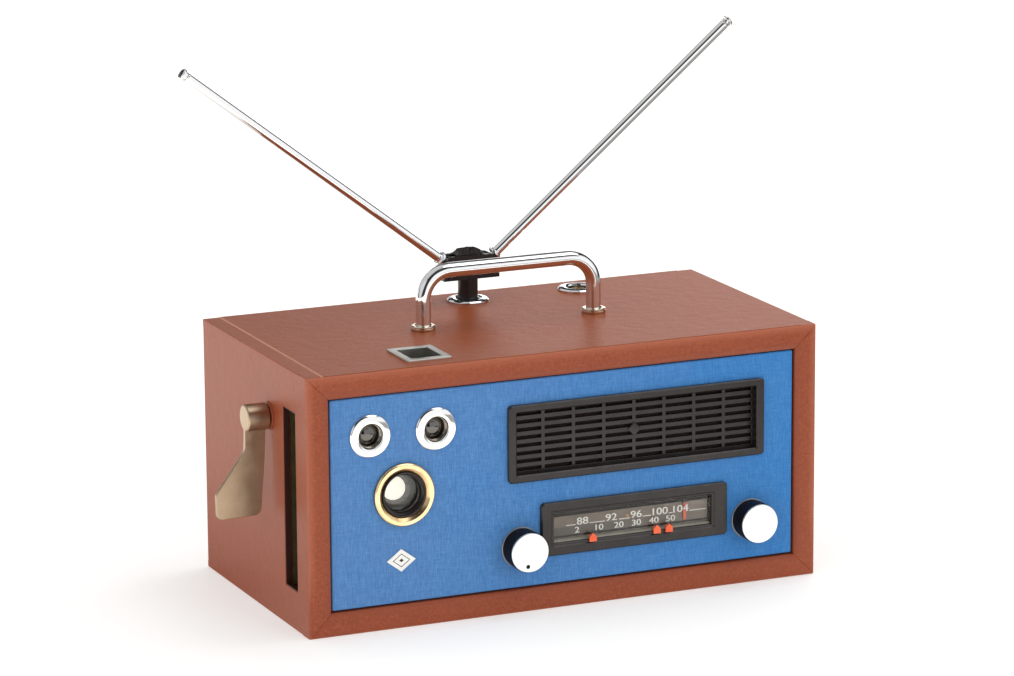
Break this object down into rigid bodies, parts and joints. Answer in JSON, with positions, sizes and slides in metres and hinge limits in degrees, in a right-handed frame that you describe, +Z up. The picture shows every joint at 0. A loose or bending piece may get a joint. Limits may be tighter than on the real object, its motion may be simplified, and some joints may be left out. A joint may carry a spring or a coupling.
{
  "type": "portable cabinet radio",
  "caption": "Portable cabinet radio with carry handle, rabbit-ear telescopic aerial, speaker grille, tuning dial, knobs, finder lenses, side slot and lever.",
  "frame": {"origin": "centre of the case's flat underside", "axes": "+Z up, -Y out of the front panel, +X towards the right of someone facing the front"},
  "size_m": [0.4323, 0.209, 0.3653],
  "materials": {
    "leatherette": "brown book-cloth leatherette glued over board, fine grain, soft satin",
    "blue_linen": "blue linen book cloth glued over board, plain weave",
    "ivory_enamel": "off-white enamel with a thin line border",
    "chrome": "polished chrome plate",
    "lens_glass": "coated lens glass over a dark interior",
    "brass": "turned brass, lightly aged",
    "black_plastic": "black moulded plastic, satin",
    "satin_steel": "satin nickel-plated steel",
    "speaker_cloth": "open black cloth",
    "plain_steel": "plain zinc-plated steel",
    "cone_paper": "black pressed paper",
    "clear_plastic": "clear acrylic",
    "scale_print": "dark grey print with white figures",
    "orange_plastic": "red-orange moulded plastic",
    "spun_aluminium": "spun aluminium, fine circular turning marks",
    "ivory_plastic": "moulded ivory plastic",
    "board_laminate": "paper laminate circuit board",
    "battery_wrap": "plain printed wrap",
    "dark_steel": "blackened steel, slightly glossy",
    "nickel_bronze": "satin nickel over brass, warm and slightly worn"
  },
  "bodies": {
    "case": {"front_frame": "leatherette", "cabinet_top": "leatherette", "cabinet_bottom": "leatherette", "cabinet_left_side": "leatherette", "cabinet_right_side": "leatherette", "back_cover": "leatherette", "front_panel": "blue_linen", "badge_plate": "ivory_enamel", "finder_eyelet_left": "chrome", "finder_eyelet_right": "chrome", "finder_lens_left": "lens_glass", "finder_lens_right": "lens_glass", "brass_lens_ring": "brass", "lens_barrel": "black_plastic", "lens_glass": "lens_glass", "finder_hood": "satin_steel", "speaker_grille": "black_plastic", "grille_cloth": "speaker_cloth", "speaker_basket": "plain_steel", "speaker_cone": "cone_paper", "speaker_magnet": "plain_steel", "dial_bezel": "black_plastic", "dial_window": "clear_plastic", "dial_scale": "scale_print", "volume_control": "plain_steel", "tuning_bearing": "plain_steel", "tuner_unit": "plain_steel", "circuit_board": "board_laminate", "battery_box": "black_plastic", "battery_pack": "battery_wrap", "side_slot_channel": "dark_steel", "handle_bow": "chrome", "handle_collar_left": "chrome", "handle_collar_right": "chrome", "aerial_eyelet": "chrome", "socket_eyelet": "chrome"},
    "volume_knob": {"volume_knob": "black_plastic", "volume_knob_cap": "spun_aluminium", "volume_shaft": "plain_steel"},
    "tuning_knob": {"tuning_knob": "black_plastic", "tuning_knob_cap": "spun_aluminium", "tuning_shaft": "plain_steel"},
    "drive_drum": {"drive_drum": "ivory_plastic"},
    "dial_pointer": {"dial_pointer": "orange_plastic"},
    "station_marker_1": {"station_marker_1": "orange_plastic"},
    "station_marker_2": {"station_marker_2": "orange_plastic"},
    "station_marker_3": {"station_marker_3": "orange_plastic"},
    "side_lever": {"lever_hub": "nickel_bronze", "lever_blade": "nickel_bronze"},
    "aerial_mast": {"aerial_post": "black_plastic", "aerial_head": "black_plastic", "aerial_head_cap": "black_plastic"},
    "aerial_rod_left": {"aerial_knuckle_left": "chrome", "aerial_tube_left": "chrome"},
    "aerial_middle_left": {"aerial_middle_left": "chrome"},
    "aerial_tip_left": {"aerial_tip_left": "chrome"},
    "aerial_rod_right": {"aerial_knuckle_right": "chrome", "aerial_tube_right": "chrome"},
    "aerial_middle_right": {"aerial_middle_right": "chrome"},
    "aerial_tip_right": {"aerial_tip_right": "chrome"}
  },
  "joints": [
    {"name": "volume_turn", "type": "hinge", "parent": "case", "child": "volume_knob", "pos_m": [-0.0338, -0.1035, 0.0452], "axis": [0, 1, 0], "range_deg": [0, 300]},
    {"name": "tuning_turn", "type": "hinge", "parent": "case", "child": "tuning_knob", "pos_m": [0.1383, -0.1035, 0.0452], "axis": [0, 1, 0], "range_deg": [-1520, 225]},
    {"name": "drum_turn", "type": "hinge", "parent": "case", "child": "drive_drum", "pos_m": [0.09, -0.077, 0.048], "axis": [0, 1, 0], "range_deg": [-158, 24]},
    {"name": "pointer_slide", "type": "slide", "parent": "case", "child": "dial_pointer", "axis": [1, 0, 0], "range_m": [-0.093, 0.014]},
    {"name": "marker_1_slide", "type": "slide", "parent": "case", "child": "station_marker_1", "axis": [1, 0, 0], "range_m": [-0.022, 0.04]},
    {"name": "marker_2_slide", "type": "slide", "parent": "case", "child": "station_marker_2", "axis": [1, 0, 0], "range_m": [-0.04, 0.003]},
    {"name": "marker_3_slide", "type": "slide", "parent": "case", "child": "station_marker_3", "axis": [1, 0, 0], "range_m": [-0.003, 0.026]},
    {"name": "lever_turn", "type": "hinge", "parent": "case", "child": "side_lever", "pos_m": [-0.2, -0.028, 0.1375], "axis": [1, 0, 0], "range_deg": [0, 90]},
    {"name": "mast_turn", "type": "hinge", "parent": "case", "child": "aerial_mast", "pos_m": [0.0005, 0.0715, 0.178], "axis": [0, 0, 1], "range_deg": [-180, 180]},
    {"name": "rod_left_tilt", "type": "hinge", "parent": "aerial_mast", "child": "aerial_rod_left", "pos_m": [-0.01325, 0.0715, 0.2041], "axis": [0, 1, 0], "range_deg": [-32, 42]},
    {"name": "middle_left_slide", "type": "slide", "parent": "aerial_rod_left", "child": "aerial_middle_left", "axis": [-0.7912, 0, 0.6115], "range_m": [0, 0.2]},
    {"name": "tip_left_slide", "type": "slide", "parent": "aerial_middle_left", "child": "aerial_tip_left", "axis": [-0.7912, 0, 0.6115], "range_m": [0, 0.2]},
    {"name": "rod_right_tilt", "type": "hinge", "parent": "aerial_mast", "child": "aerial_rod_right", "pos_m": [0.01425, 0.0715, 0.2041], "axis": [0, -1, 0], "range_deg": [-34, 40]},
    {"name": "middle_right_slide", "type": "slide", "parent": "aerial_rod_right", "child": "aerial_middle_right", "axis": [0.7672, 0, 0.6414], "range_m": [0, 0.2]},
    {"name": "tip_right_slide", "type": "slide", "parent": "aerial_middle_right", "child": "aerial_tip_right", "axis": [0.7672, 0, 0.6414], "range_m": [0, 0.2]}
  ],
  "couplings": [
    {"joint": "drum_turn", "follows": "tuning_turn", "ratio": 0.10294},
    {"joint": "pointer_slide", "follows": "tuning_turn", "m_per_rad": 0.0035}
  ]
}
